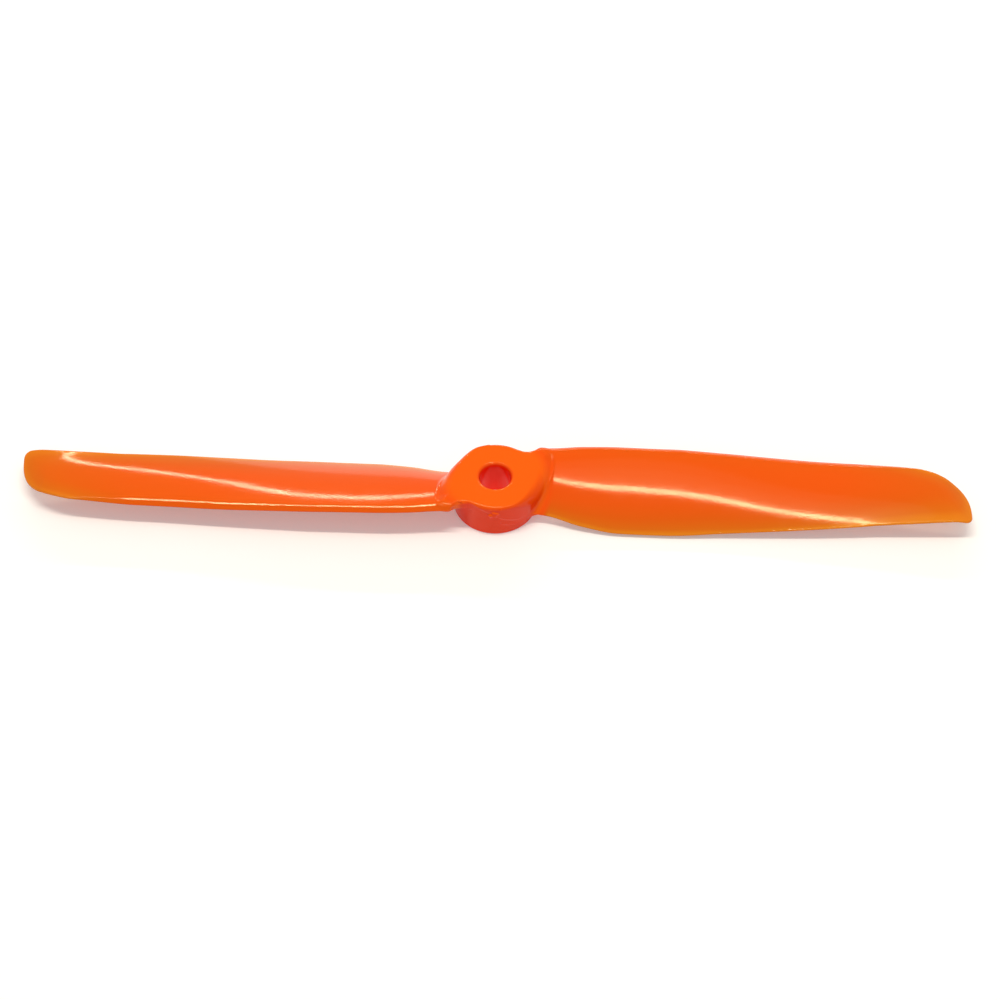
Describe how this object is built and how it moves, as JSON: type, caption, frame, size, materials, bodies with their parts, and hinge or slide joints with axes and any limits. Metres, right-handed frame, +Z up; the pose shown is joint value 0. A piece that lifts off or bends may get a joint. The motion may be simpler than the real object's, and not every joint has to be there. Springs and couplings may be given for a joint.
{
  "type": "propeller",
  "caption": "Moulded two-blade propeller for a small drone or model aircraft, with a round hub, a plain 5 mm bore and swept, twisted blades.",
  "frame": {"origin": "centre of the hub's bottom seating face, on the axis of the bore", "axes": "+Z up along the bore, towards the nut; +X along blade_a towards its tip; +Y towards blade_a's leading edge"},
  "size_m": [0.1524, 0.015, 0.0065],
  "materials": {
    "orange_plastic": "glossy translucent orange moulding, amber where it is thin and deep red-orange where it is thick"
  },
  "bodies": {
    "root": {"hub": "orange_plastic", "blade_a": "orange_plastic", "blade_b": "orange_plastic"}
  },
  "joints": []
}
